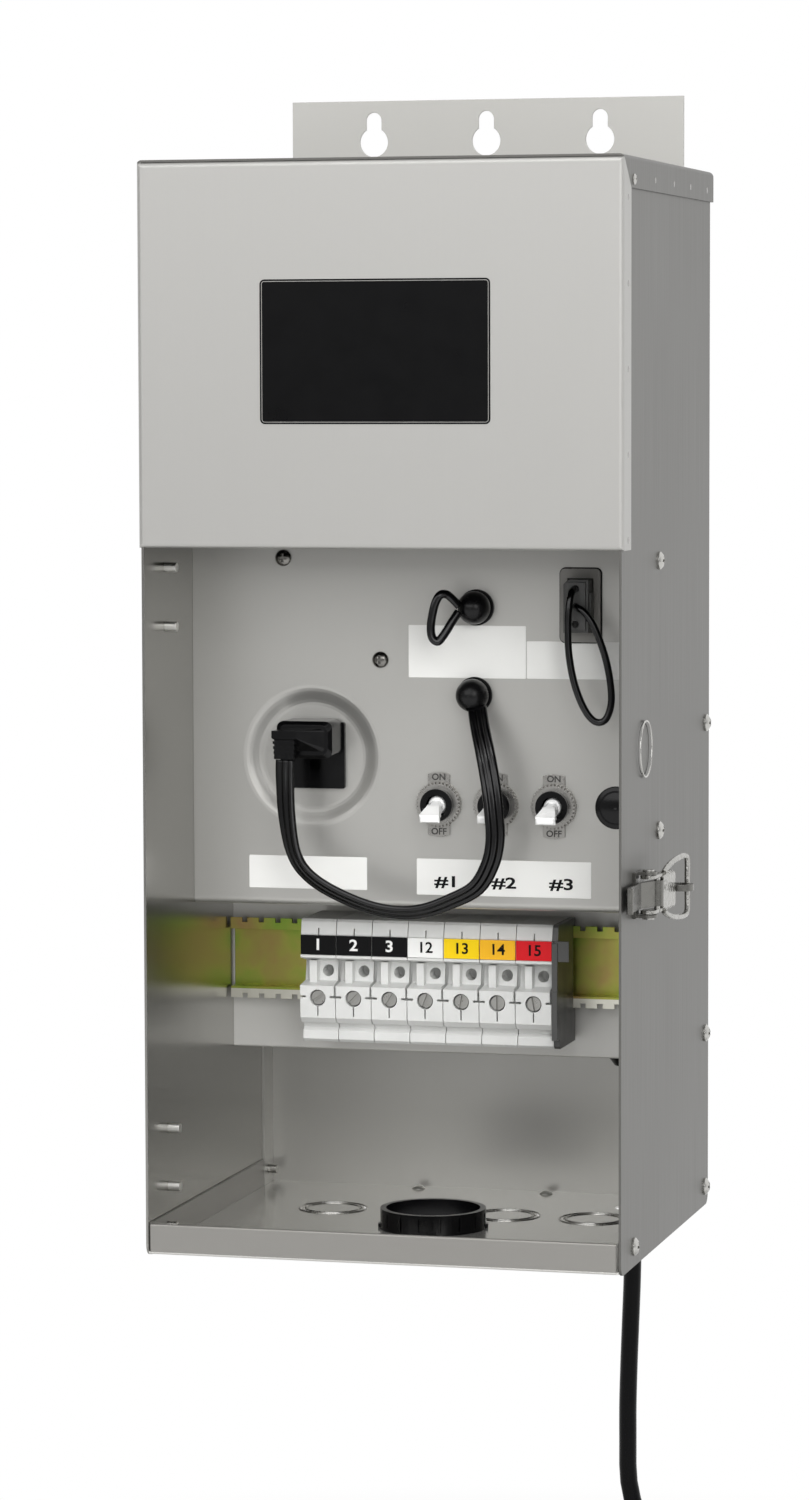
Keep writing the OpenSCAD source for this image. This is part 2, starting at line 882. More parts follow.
// Clamp plate, drawn into the winding's bore so that its nut sits lower
clamp_d = 100;
clamp_t = 2;
clamp_well = 3;
module clamp_dish() {
  well = toroid_bore_d / 2 - 2 * clamp_t;
  bore = stud_d / 2 + fit_gap;
  slope = clamp_well;
  color(zinc)
    on_axis(toroid_front - pad_t)
      rotate_extrude($fn = 96)
        polygon([[bore, -clamp_well], [well - slope, -clamp_well], [well, 0], [clamp_d / 2, 0],
          [clamp_d / 2, clamp_t], [well - clamp_t / 2, clamp_t],
          [well - slope - clamp_t / 2, clamp_t - clamp_well], [bore, clamp_t - clamp_well]]);
}

module clamp_stud() {
  color(bright_steel)
    on_axis(back_y)
      cylinder(h = toroid_h + 2 * pad_t + stud_out, d = stud_d);
}

module clamp_nut() {
  washer_h = 0.2 * stud_d;
  nut_h = 0.8 * stud_d;
  color(bright_steel)
    on_axis(toroid_front - pad_t - clamp_t + clamp_well)
      difference() {
        union() {
          cylinder(h = washer_h, d = 2.1 * stud_d);
          translate([0, 0, washer_h])
            cylinder(h = nut_h, d = 1.8 * stud_d, $fn = 6);
        }
        translate([0, 0, -over])
          cylinder(h = washer_h + nut_h + 2 * over, d = stud_d + 2 * run_gap);
      }
}

// Timer outlet and its plug
outlet_rim = 1;
outlet_flange_t = 2;
outlet_body_l = 24;
outlet_face = panel_y + dish_depth - outlet_flange_t;
blade_gap = 12.7;
blade_t = 1.5;
blade_w = 6.4;
blade_l = 16;
earth_d = 5;
earth_drop = 11.9;
timer_plug_aside = 1;
timer_plug_x = dish_x + timer_plug_aside;
timer_plug_up = 7.6;
timer_plug_drop = outlet_drop - timer_plug_up;
timer_plug_w = 24;
timer_plug_h = 15.5;
timer_plug_l = 19;
module timer_receptacle() {
  z = down(outlet_drop);
  blade_z = down(timer_plug_drop);
  slot = grown([blade_t, blade_w], fit_gap);
  color(black)
    difference() {
      union() {
        stand(outlet_x, outlet_face, z, outlet_flange_t)
          round_rect(outlet_w, outlet_w, outlet_rim);
        stand(outlet_x, outlet_face, z, outlet_body_l)
          square(outlet_w - 2 * outlet_rim, center = true);
      }
      // Blade slots and the D-shaped earth hole
      for (s = [-1, 1])
        stand(timer_plug_x + s * blade_gap / 2, outlet_face - over, blade_z, blade_l + 2 * over)
          square(slot, center = true);
      stand(timer_plug_x, outlet_face - over, blade_z - earth_drop, blade_l) {
        circle(d = earth_d);
        translate([-earth_d / 2, 0])
          square([earth_d, earth_d / 2]);
      }
    }
}

// A flat right-angle plug: rounded body, ribbed outlet that turns the flat cord down
timer_plug_y = outlet_face - fit_gap;
timer_ribs = 5;
timer_rib_w = 10.4;
timer_rib_t = 5.2;
timer_step = 3;
module timer_plug() {
  face = timer_plug_y - timer_plug_l;
  z = down(timer_plug_drop);
  x = timer_start[0];
  y = timer_start[1];
  low = timer_start[2] + move_gap;
  high = z + timer_plug_h / 6;
  pitch = (high - low) / timer_ribs;
  color(black) {
    stand(timer_plug_x, face + 2 * timer_step, z, timer_plug_l - 2 * timer_step)
      round_rect(timer_plug_w, timer_plug_h, timer_step);
    hull()
      for (k = [0, 1])
        stand(timer_plug_x, face + (1 + k) * timer_step / 2, z, timer_step)
          round_rect(timer_plug_w - (1 - k) * timer_step, timer_plug_h - (1 - k) * timer_step,
            timer_step, $fn = 24);
    // Shoulder from the body to the outlet
    hull() {
      stand(timer_plug_x + timer_step / 2, face + timer_step / 2, z, timer_step)
        round_rect(timer_plug_w - 3 * timer_step, timer_plug_h - 2 * timer_step, timer_step / 2, $fn = 24);
      translate([x, y, high])
        cube([timer_rib_w, timer_rib_t, timer_step], center = true);
    }
    // Ribs round a core
    translate([x, y, (high + low) / 2])
      cube([0.82 * timer_rib_w, 0.7 * timer_rib_t, high - low], center = true);
    for (i = [0 : timer_ribs - 1])
      translate([x, y, high - (i + 0.95) * pitch])
        linear_extrude(0.55 * pitch)
          round_rect((1 - 0.03 * i) * timer_rib_w, (1 - 0.03 * i) * timer_rib_t, timer_rib_t / 4);
    for (s = [-1, 1])
      stand(timer_plug_x + s * blade_gap / 2, timer_plug_y - over, z, blade_l + over)
        square([blade_t, blade_w], center = true);
  }
}

// Timer cord: three cores side by side, hung between the plug and the grommet. Its points are
// chosen by hand and given from its start. Each has the turn of the cord's flat face, in degrees.
timer_cord_w = 8.2;
timer_cord_t = 2.9;
timer_start = [timer_plug_x - 0.29 * timer_plug_w, timer_plug_y - timer_plug_l - 0.6 * timer_step,
  down(timer_plug_drop) - timer_plug_h / 2 - move_gap];
timer_end = [grommet_x, panel_y, down(grommet_drop)] + grommet_r * [0.43, -1.23, -0.71];
timer_route = hung([[0, 0, 0], [0, -0.5, -7], [1, -1.5, -23], [4, -2.5, -38], [10, -3.5, -47],
  [21, -4.5, -54], [37, -5.5, -60], [50, -6, -62], [61, -6, -61], [72, -5.5, -57], [83, -5.5, -51],
  [89, -5.5, -41], [91, -5.5, -31], [90.5, -5.5, -20], [89, -4.5, -9], [86, -1, 3], [82, 5.5, 14],
  [79.5, 10.5, 22]], timer_start, timer_end);
timer_turn = [0, 5, 18, 34, 44, 48, 50, 50, 48, 45, 40, 34, 28, 22, 16, 10, 4, 0];
// Upper half of the cord's section, as shares of a core's radius beside each core's middle
core_share = [[1, 0], [0.6, 0.8], [-0.6, 0.8]];
module timer_cord() {
  steps = 2;
  path = smooth_route(timer_route, steps);
  core_r = timer_cord_t / 2;
  side = timer_cord_w / 2 - core_r;
  right = [for (q = core_share) [side, 0] + core_r * q];
  middle = [[0.6 * core_r, 0.8 * core_r], [-0.6 * core_r, 0.8 * core_r]];
  left = [for (i = [2 : -1 : 0]) [-right[i][0], right[i][1]]];
  upper = concat(right, [[side / 2, core_r / 2]], middle, [[-side / 2, core_r / 2]], left);
  lower = [for (i = [len(upper) - 2 : -1 : 1]) [upper[i][0], -upper[i][1]]];
  turns = [for (i = [0 : len(timer_turn) - 2]) for (s = [0 : steps - 1])
    timer_turn[i] + (timer_turn[i + 1] - timer_turn[i]) * s / steps, timer_turn[len(timer_turn) - 1]];
  // The flat face looks out of the cabinet, then leans over and up as the turn grows.
  ups = [for (i = [0 : len(path) - 1])
    let (t = heading(path, i), x = unit(cross(t, [0, -1, 0])), u = cross(x, t))
      cos(turns[i]) * u + sin(turns[i]) * x];
  color(black)
    sweep(path, concat(upper, lower), ups);
}

// Round grommets on the panel: a ball that turns the wire down, a collar and a neck
ball_out = 5;
collar_t = 1.2;
neck_in = 3;
module ball_grommet(x, drop) {
  color(black)
    on_panel(x, drop)
      difference() {
        union() {
          intersection() {
            translate([0, 0, ball_out])
              sphere(r = grommet_r, $fn = 64);
            cylinder(h = 2 * grommet_r, r = 2 * grommet_r);
          }
          cylinder(h = collar_t, r = grommet_r + collar_t / 2);
          translate([0, 0, -sheet_t - neck_in])
            cylinder(h = sheet_t + neck_in + collar_t, d = grommet_neck_d);
        }
        children();
      }
}

module cord_grommet() {
  ball_grommet(grommet_x, grommet_drop)
    translate([0.43 * grommet_r, -1.3 * grommet_r, ball_out + timer_cord_t])
      cube([timer_cord_w + over, 1.2 * grommet_r, 1.4 * timer_cord_t], center = true);
}

module loop_grommet() {
  ball_grommet(loop_x, loop_drop)
    translate([-grommet_r, 0, ball_out + test_wire_t])
      rotate([0, -60, 0])
        cylinder(h = grommet_r, d = 1.3 * test_wire_w, center = true);
}

// Flat loop of wire for the clamp meter
test_wire_w = 4;
test_wire_t = 2.6;
test_start = [loop_x, panel_y, down(loop_drop)] + grommet_r * [-0.71, -1.67, 0.17];
test_end = test_start - [0, 0, test_wire_t];
test_route = hung([[0, 0, 0], [-1.8, -2, 2.5], [-4.2, -4.1, 4.8], [-6.6, -5.7, 4.4],
  [-8.4, -6.3, 1], [-9.6, -6.5, -4], [-10.2, -6.5, -9], [-9.6, -6.4, -13], [-7.4, -5.7, -14.6],
  [-4.9, -4.1, -11.4], [-2.4, -2.1, -6.8], [0, 0, -2.6]], test_start, test_end);
module test_loop() {
  path = smooth_route(test_route, 2);
  outline = [for (q = circle_points(0.5, 8)) [q[0] * test_wire_t, q[1] * test_wire_w]];
  color(black)
    sweep(path, outline, [for (p = path) [0.5, -0.8, 0.2]]);
}

// Photocell socket with its jumper plug, which pulls straight out
socket_flange = [17, 30.4];
socket_flange_t = 1.6;
socket_l = 20;
module photocell_socket() {
  z = down(socket_drop);
  front = panel_y - socket_flange_t;
  color("#8a8883")
    difference() {
      union() {
        stand(socket_x, front, z, socket_flange_t)
          round_rect(socket_flange[0], socket_flange[1], socket_flange[0] / 8);
        stand(socket_x, front, z, socket_flange_t + socket_l)
          square(socket_size, center = true);
      }
      stand(socket_x, front - over, z, socket_l)
        square(grown([jumper_w, jumper_h], move_gap), center = true);
    }
}

jumper_out = 11;
jumper_l = 20;
jumper_bevel = 1;
jumper_pin_d = 3;
jumper_pin_l = 4.2;
module jumper_plug() {
  front = panel_y - jumper_out;
  z = down(socket_drop);
  color("#55565a")
    difference() {
      union() {
        stand(socket_x, front + jumper_bevel, z, jumper_l - jumper_bevel)
          square([jumper_w, jumper_h], center = true);
        stand(socket_x, front, z, 2 * jumper_bevel)
          square(grown([jumper_w, jumper_h], -jumper_bevel), center = true);
        // Grip ridge
        stand(socket_x + jumper_w / 2, front + jumper_out / 4, z, jumper_out / 2)
          square([1.6 * jumper_bevel, jumper_h / 2], center = true);
      }
      for (i = [-1, 0, 1])
        stand(socket_x, front - over, z + i * jumper_h / 3, jumper_pin_l + over)
          circle(d = jumper_pin_d);
      stand(socket_x - jumper_w / 2, front - over, z + jumper_h / 2, jumper_l + 2 * over)
        rotate(45)
          square(2.6 * jumper_bevel, center = true);
    }
}

jumper_wire_d = 3;
jumper_end = [socket_x, panel_y - jumper_out + 0.7 * jumper_pin_l, down(socket_drop)];
jumper_start = jumper_end + [0, 0, jumper_h / 3];
jumper_route = hung([[0, 0, 0], [-0.2, -4, -0.2], [-0.6, -7.5, -1.5], [-1.2, -9, -6],
  [-1.6, -9.6, -15], [-1, -10, -27], [1.4, -10, -39], [5.4, -9.6, -49], [9.8, -9, -54],
  [14, -8.4, -53], [16.2, -7.8, -46], [15.4, -7.4, -36], [13, -7, -26], [8.8, -6.6, -15.4],
  [4.8, -6.2, -9.6], [1.4, -5.2, -7.6], [0, -2.6, -7.2], [0, 0, -7.2]], jumper_start, jumper_end);
module jumper_wire() {
  color(black)
    tube(smooth_route(jumper_route, 2), jumper_wire_d, 8, [0.94, 0.1, 0.34]);
}

// Switches: body and threaded bush, indicator plate, knurled ring nut, lever
switch_body = [17, 28, 24];
switch_boot_d = 13.7;
switch_out = 6;
lever_pivot = 2.5;
lever_ball_r = 4;
plate_tab = [9.3, 27];
plate_t = 0.8;
nut_d = 19;
nut_t = 1.8;
nut_teeth = 36;
module switch_bodies() {
  seat = plate_t + nut_t + fit_gap;
  color(black)
    for (i = [0 : 2])
      on_panel(switch_at(i), switch_drop)
        difference() {
          union() {
            translate([0, 0, -sheet_t - switch_body[2] / 2])
              cube(switch_body, center = true);
            translate([0, 0, -sheet_t])
              cylinder(h = sheet_t + seat, d = switch_bore_d);
            translate([0, 0, seat])
              cylinder(h = switch_out - seat, d = switch_boot_d);
          }
          // Seat of the lever's ball, open at the mouth
          translate([0, 0, lever_pivot])
            sphere(r = lever_ball_r + move_gap, $fn = 48);
          translate([0, 0, lever_pivot])
            cylinder(h = switch_out, r = lever_ball_r + move_gap);
        }
}

module switch_plates() {
  color(bright_steel)
    for (i = [0 : 2])
      on_panel(switch_at(i), switch_drop)
        linear_extrude(plate_t)
          difference() {
            union() {
              intersection() {
                square(plate_tab, center = true);
                circle(d = plate_tab[1]);
              }
              circle(d = nut_d);
            }
            circle(d = switch_bore_d + 2 * fit_gap);
          }
}

module switch_nuts() {
  tooth = PI * nut_d / nut_teeth / 2;
  color(bright_steel)
    for (i = [0 : 2])
      on_panel(switch_at(i), switch_drop)
        translate([0, 0, plate_t])
          linear_extrude(nut_t)
            difference() {
              union() {
                circle(d = nut_d - 2 * tooth);
                for (k = [0 : nut_teeth - 1])
                  rotate(k * 360 / nut_teeth)
                    translate([nut_d / 2 - 2 * tooth, -tooth / 2])
                      square([2 * tooth, tooth]);
              }
              circle(d = switch_bore_d + 2 * fit_gap);
            }
}

// Outlines of a lever, as shares of [half its base, its length] and [half its tip, its length]
lever_l = 18.5;
lever_base_d = 5.8;
lever_tip = [8.4, 3.4];
module lever_outline(tip_w, length) {
  a = lever_base_d / 2;
  b = tip_w / 2;
  bevel = lever_tip[1] / 5;
  half = [[a, 0], [0.92 * a, 0.5 * length], [b, 0.9 * length], [b, length - bevel], [b - bevel, length]];
  polygon(concat(half, [for (i = [len(half) - 1 : -1 : 0]) [-half[i][0], half[i][1]]]));
}

// The lever is drawn straight out of the panel, then turned down by half its throw.
module toggle_lever(i) {
  length = lever_l - lever_pivot;
  color("white")
    on_panel(switch_at(i), switch_drop)
      translate([0, 0, lever_pivot])
        rotate([lever_throw / 2, 0, 0]) {
          sphere(r = lever_ball_r, $fn = 48);
          // It flares to a paddle across, and thins from the side.
          intersection() {
            rotate([90, 0, 0])
              linear_extrude(3 * lever_base_d, center = true)
                lever_outline(lever_tip[0], length);
            rotate([90, 0, 90])
              linear_extrude(3 * lever_tip[0], center = true)
                lever_outline(lever_tip[1], length);
            union() {
              cylinder(h = 0.6 * length, d = 1.06 * lever_base_d);
              translate([0, 0, 0.4 * length])
                cylinder(h = length, d = 2 * lever_tip[0]);
            }
          }
        }
}

module toggle_lever_1() toggle_lever(0);
module toggle_lever_2() toggle_lever(1);
module toggle_lever_3() toggle_lever(2);

plug_head_r = 8.9;
plug_head_h = 1.6;
plug_wall = 2;
module hole_plug() {
  color(black)
    on_panel(plug_x, plug_drop) {
      dome(plug_head_r, plug_head_h);
      translate([0, 0, -sheet_t - neck_in])
        difference() {
          cylinder(h = sheet_t + neck_in + plug_head_h / 2, d = plug_hole_d);
          translate([0, 0, -over])
            cylinder(h = sheet_t + neck_in + over, d = plug_hole_d - 2 * plug_wall);
        }
    }
}

// Terminal blocks on the rail
block_count = 7;
block_gap = 0.3;
block_w = block_pitch - block_gap;
blocks_x = -58;
block_face = 86;
block_rise = 131.4;
block_top = case_h - block_rise;
block_h = 52.8;
test_hole_x = 2.2;
test_hole_d = 4.9;
test_hole_l = 18;
screw_rise = 98;
screw_drop = case_h - screw_rise;
clamp_screw_in = 1.4;
clamp_screw_l = 12;
entry_w = 10;
entry_in = 12;
entry_h = 17.5;
clip_w = 3.2;
clip_x = 3.2;
slit_w = 0.6;
rail_hook = 1.2;
function block_x(i) = blocks_x + (i + 0.5) * block_pitch;
function block_drop(share) = block_top + share * block_h;

// Front of a block from its top to its foot: [depth behind the face, drop below the top], both
// as shares of its height. The marker seat, the test hole's recess and the clamp are steps in it.
block_front_share = [[0.076, 0], [0.057, 0.02], [0.038, 0.125], [0.042, 0.125], [0.042, 0.288],
  [0.019, 0.288], [0.019, 0.31], [0.2, 0.35], [0.17, 0.51], [0, 0.534], [0.01, 0.795],
  [0.05, 0.84], [0.11, 0.84], [0.125, 0.883], [0.095, 0.91], [0.095, 0.977], [0.12, 1]];
marker_share = [0.125, 0.288];
marker_seat_share = 0.042;

// Whole outline of a block, as [depth, drop]: its back hooks round the rail's lips.
module block_outline() {
  seat = rail_panel_depth - rail_depth - fit_gap;
  hooked = seat + rail_t + 2 * fit_gap;
  back = hooked + 2 * rail_hook;
  high = rail_mid - rail_w / 2;
  low = rail_mid + rail_w / 2;
  polygon(concat(
    [for (q = block_front_share) [block_face + q[0] * block_h, block_drop(q[1])]],
    [[back, block_drop(1)], [back, low - rail_hook], [hooked, low - rail_hook],
      [hooked, low + fit_gap], [seat, low + fit_gap], [seat, high - fit_gap],
      [hooked, high - fit_gap], [hooked, high + rail_hook], [back, high + rail_hook],
      [back, block_drop(0)]]));
}

module block_slab(x, w) {
  translate([x, 0, 0])
    along_x(w)
      from_front()
        block_outline();
}

module terminal_block(i) {
  x0 = block_x(i);
  face = deep(block_face);
  slit = 3 * clamp_screw_in;
  color(block_grey)
    difference() {
      union() {
        block_slab(x0, block_w);
        // Clip seat beside the test hole
        box_between([x0 - clip_x - clip_w / 2, face + test_hole_d, down(block_drop(0.52))],
          [x0 - clip_x + clip_w / 2, face + entry_in, down(block_drop(0.34))]);
      }
      facing(x0 + test_hole_x, face + test_hole_l, down(block_drop(0.43)))
        cylinder(h = test_hole_l + over, d = test_hole_d);
      facing(x0, face + clamp_screw_in + clamp_screw_l, down(screw_drop))
        cylinder(h = clamp_screw_in + clamp_screw_l + over, d = clamp_screw_d + over);
      // Wire entry from below
      box_between([x0 - entry_w / 2, face + entry_in, down(block_drop(1) + over)],
        [x0 + entry_w / 2, face + entry_in + entry_w, down(block_drop(1) - entry_h)]);
      // Slits at the middle, then the slot and the step at the joint to the next block
      for (drop = [block_drop(0.15), block_drop(0.78)])
        box_between([x0 - slit_w / 2, face - over, down(drop)],
          [x0 + slit_w / 2, face + slit, down(drop - slit)]);
      for (s = [-1, 1])
        box_between([x0 + s * (block_w / 2 - 4 * slit_w), face - over, down(screw_drop)],
          [x0 + s * block_w, face + slit, down(screw_drop - 1.5 * slit_w)]);
      box_between([x0 + block_w / 2 - slit_w, face - over, down(screw_drop)],
        [x0 + block_w, face + slit, down(block_drop(0.53))]);
      box_between([x0 + block_w / 2 - 2 * slit_w, face + slit / 2, down(block_drop(0.55))],
        [x0 + block_w, face + entry_in, down(block_drop(0.33))]);
    }
}

module terminal_block_1() terminal_block(0);
module terminal_block_2() terminal_block(1);
module terminal_block_3() terminal_block(2);
module terminal_block_4() terminal_block(3);
module terminal_block_5() terminal_block(4);
module terminal_block_6() terminal_block(5);
module terminal_block_7() terminal_block(6);

// End plate, a little prouder than the blocks, with a tab at the markers
end_plate_w = 2.4;
end_tab_l = 6;
marker_t = 1.2;
module end_plate() {
  x0 = blocks_x + block_count * block_pitch + end_plate_w / 2;
  color("#5d5f61") {
    block_slab(x0, end_plate_w);
    translate([x0, 0, 0])
      along_x(end_plate_w)
        from_front()
          translate([block_face + slit_w, block_drop(0.14)])
            square([0.4 * block_h, 0.78 * block_h]);
    box_between([x0, deep(block_face + marker_t), down(block_drop(marker_share[1]))],
      [x0 + end_tab_l, deep(block_face + 2 * marker_t), down(block_drop(marker_share[0]))]);
  }
}

module terminal_markers() {
  seat = block_face + marker_seat_share * block_h;
  mid = block_drop((marker_share[0] + marker_share[1]) / 2);
  tall = (marker_share[1] - marker_share[0]) * block_h - 2 * fit_gap;
  for (i = [0 : block_count - 1])
    color([black, black, black, "white", "#f7d21a", "#f5b92c", "#d8232a"][i])
      stand(block_x(i), deep(seat - marker_t), down(mid), marker_t)
        square([block_w - fit_gap, tall], center = true);
}

module clamp_screws() {
  slot_w = clamp_screw_d / 6;
  color("#9a9a98")
    for (i = [0 : block_count - 1])
      facing(block_x(i), deep(block_face + clamp_screw_in), down(screw_drop))
        difference() {
          translate([0, 0, -clamp_screw_l])
            cylinder(h = clamp_screw_l, d = clamp_screw_d);
          rotate([0, 0, 35 + 11 * i])
            cube([2 * clamp_screw_d, slot_w, 2 * slot_w], center = true);
        }
}

// Draw latch on the right side, drawn round the lever's axis: x outward, y to the rear
latch_pin_out = 5;
latch_pin_depth = 30;
latch_pin_d = 3;
latch_base_t = 1.4;
latch_rivets_back = [13, 22];
latch_rivet_d = 2.4;
latch_strip_w = 11;
cheek_t = 1.4;
ear_gap = lever_w / 2 + move_gap;
ear_t = 1.2;
ear_r = 3.6;
eye_tab = [17.5, 11];
eye_tab_back = 25.5;
eye_tab_t = 2.6;
padlock_d = 7;
module at_latch() {
  translate([side_x, deep(latch_pin_depth), down(latch_drop)])
    children();
}

module latch_base() {
  base_w = 2 * (ear_gap + ear_t);
  tab_w = eye_tab[1];
  eye = [eye_tab[0] - tab_w / 2, eye_tab_back + tab_w / 2];
  color(bright_steel)
    at_latch()
      difference() {
        union() {
          rotate([90, 0, 90])
            linear_extrude(latch_base_t) {
              translate([-2 * ear_r, -base_w / 2])
                square([4 * ear_r, base_w]);
              translate([0, -latch_strip_w / 2])
                square([eye_tab_back + tab_w, latch_strip_w]);
            }
          // Ears that carry the lever's pivots
          for (s = [-1, 1])
            translate([0, 0, s * (ear_gap + ear_t / 2)])
              linear_extrude(ear_t, center = true) {
                translate([latch_pin_out, 0])
                  circle(r = ear_r);
                translate([0, -ear_r])
                  square([latch_pin_out, 2 * ear_r]);
              }
          // Padlock eye, bent out of the strip
          linear_extrude(eye_tab_t, center = true) {
            translate([0, eye_tab_back])
              square([eye[0], tab_w]);
            translate(eye)
              circle(d = tab_w);
          }
        }
        translate(concat(eye, [0]))
          hole(padlock_d, eye_tab_t);
        translate([latch_pin_out, 0, 0])
          cylinder(h = 2 * base_w, d = latch_pin_d, center = true);
        for (y = latch_rivets_back)
          translate([0, y, 0])
            rotate([0, 90, 0])
              hole(latch_rivet_d, latch_base_t);
      }
}

// Stub pivots in the ears, so that the hook passes between them, and the base's rivets
module latch_pivots() {
  pivot_in = ear_gap - cheek_t - move_gap;
  pivot_l = ear_gap + ear_t - pivot_in;
  color(bright_steel)
    at_latch() {
      for (s = [0, 1])
        mirror([0, 0, s])
          translate([latch_pin_out, 0, pivot_in]) {
            cylinder(h = pivot_l, d = latch_pin_d);
            translate([0, 0, pivot_l])
              cylinder(h = latch_pin_d / 4, d = 1.6 * latch_pin_d);
          }
      for (y = latch_rivets_back)
        translate([latch_base_t, y, 0])
          rotate([0, 90, 0])
            rivet(latch_rivet_d, latch_base_t + sheet_t);
    }
}

// Lever: two cheeks on the pivots, an embossed plate behind the hook's eye, a wire handle
plate_back = 10;
plate_l = 14.5;
plate_out = 3;
hook_pin_back = 6.9;
hook_pin_out = 1.3;
hook_pin_d = 2.4;
handle_back = 41;
handle_h = 24.5;
lever_bend_r = 2;
// Upper half of the handle: shares of [its reach behind the pivots, its height]
handle_share = [[0.3, 0.32], [0.39, 0.39], [0.55, 0.46], [0.75, 0.5], [0.93, 0.5], [1, 0.42],
  [1, 0.2], [1, 0]];
module latch_lever() {
  w = lever_w;
  wire_out = plate_out - cheek_t / 2;
  tail = plate_back + plate_l;
  half = [for (q = handle_share) [wire_out, q[0] * handle_back, q[1] * handle_h]];
  wire = concat(half, [for (i = [len(half) - 2 : -1 : 0]) [half[i][0], half[i][1], -half[i][2]]]);
  color(bright_steel)
    at_latch()
      translate([latch_pin_out, 0, 0])
        rotate([0, 0, -lever_lift]) {
          difference() {
            union() {
              // Plate with its edges bent in toward the cheeks
              facing(0, tail, 0)
                linear_extrude(plate_l)
                  difference() {
                    translate([plate_out - w / 2, 0])
                      round_rect(w, w, lever_bend_r);
                    translate([plate_out - cheek_t - w / 2, 0])
                      square([w, w - 2 * cheek_t], center = true);
                    translate([-w, -w])
                      square([w, 2 * w]);
                  }
              for (s = [-1, 1])
                translate([0, 0, s * (w - cheek_t) / 2])
                  linear_extrude(cheek_t, center = true) {
                    circle(r = latch_pin_out - latch_base_t - move_gap);
                    polygon([[-latch_pin_d * 0.6, latch_pin_d * 0.8], [latch_pin_d, 0],
                      [plate_out - cheek_t, tail], [0, tail], [-cheek_t, hook_pin_back]]);
                  }
            }
            cylinder(h = 2 * w, d = latch_pin_d + 2 * run_gap, center = true);
            translate([hook_pin_out, hook_pin_back, 0])
              cylinder(h = 2 * w, d = hook_pin_d, center = true);
          }
          tube(smooth_route(wire, 2), latch_wire_d, 8, [1, 0, 0]);
        }
}

module hook_pin() {
  color(bright_steel)
    at_latch()
      translate([latch_pin_out, 0, 0])
        rotate([0, 0, -lever_lift])
          translate([hook_pin_out, hook_pin_back, 0])
            cylinder(h = lever_w, d = hook_pin_d, center = true);
}

// Hook plate: a rolled eye round the pin, a flat tongue to the front and a curled end
hook_w = 10.4;
hook_t = 1.4;
module latch_hook() {
  eye_r = hook_pin_d / 2 + run_gap + hook_t;
  pin = [latch_pin_out + hook_pin_out * cos(lever_lift) + hook_pin_back * sin(lever_lift),
    hook_pin_back * cos(lever_lift) - hook_pin_out * sin(lever_lift)];
  low = latch_base_t + move_gap;
  tip = 2 * hook_t - latch_pin_depth;
  bend = -2 * eye_r;
  color(bright_steel)
    at_latch()
      difference() {
        linear_extrude(hook_w, center = true) {
          translate(pin)
            circle(r = eye_r);
          polygon([pin - [eye_r, 0], [low, bend], [low, tip], [low + hook_t, tip],
            [low + hook_t, bend], pin - [0, eye_r], pin]);
          translate([low + hook_t, tip])
            difference() {
              circle(r = hook_t);
              translate([-hook_t, 0])
                square([2 * hook_t, hook_t]);
            }
        }
        translate(pin)
          cylinder(h = 2 * hook_w, d = hook_pin_d + 2 * run_gap, center = true);
      }
}

// Power cord: its strain relief, then the free stretch down to the coil
relief_head_d = 19;
relief_head_h = 6;
relief_up_h = 14.5;
module cord_relief() {
  r = relief_head_d / 2;
  h = relief_head_h;
  color(black)
    translate([cord_x, cord_y, down(rail_panel_bottom) - h])
      difference() {
        union() {
          rotate_extrude()
            polygon([[0, 0], [0.7 * r, 0], [0.85 * r, h / 3], [r, 0.6 * h], [r, h], [0, h]]);
          translate([0, 0, h])
            cylinder(h = relief_up_h, d1 = relief_hole_d, d2 = 0.8 * relief_hole_d);
        }
        translate([0, 0, h / 2])
          cylinder(h = h + relief_up_h, d = cord_d + 2 * fit_gap);
      }
}

// Stored coil in a plane along the wall: in from the outside over one layer, a climb
// in the half turn where the spiral reverses, and out again over the next layer
coil_pitch = cord_d + coil_gap;
coil_x = 50;
coil_drop = 192;
coil_z = bottom_z - coil_drop;
coil_start = 45;
coil_end = 90;
coil_span = coil_turns + (coil_end - coil_start) / 360;
coil_bend_r = 60;
coil_rings = 24;
tail_l = 22;
function coil_ease(u) = u < 0 ? 0 : u > 1 ? 1 : u * u * (3 - 2 * u);
function coil_point(t) =
  let (r = coil_r - coil_pitch * min(t, coil_span - t), a = coil_start + 360 * t,
    y = coil_ease(2 * (t - coil_span / 2) + 0.5) * coil_pitch)
    [coil_x + r * sin(a), cord_y + y, coil_z + r * cos(a)];
// Lead in: an arc that turns the hanging cord into the outermost turn
function coil_lead(a) =
  let (first = coil_point(0))
    [first[0] + coil_bend_r * (cos(coil_start) - cos(a)), cord_y,
      first[2] + coil_bend_r * (sin(coil_start) - sin(a))];
coil_top = coil_lead(0);
coil_tail = coil_point(coil_span);
coil_path = concat([coil_top + [0, 0, cord_d], coil_top],
  [for (k = [1 : 3]) coil_lead(coil_start * k / 4)],
  [for (k = [0 : round(coil_span * coil_rings)]) coil_point(min(k / coil_rings, coil_span))],
  [coil_tail - [0, 0, tail_l - cord_d], coil_tail - [0, 0, tail_l]]);

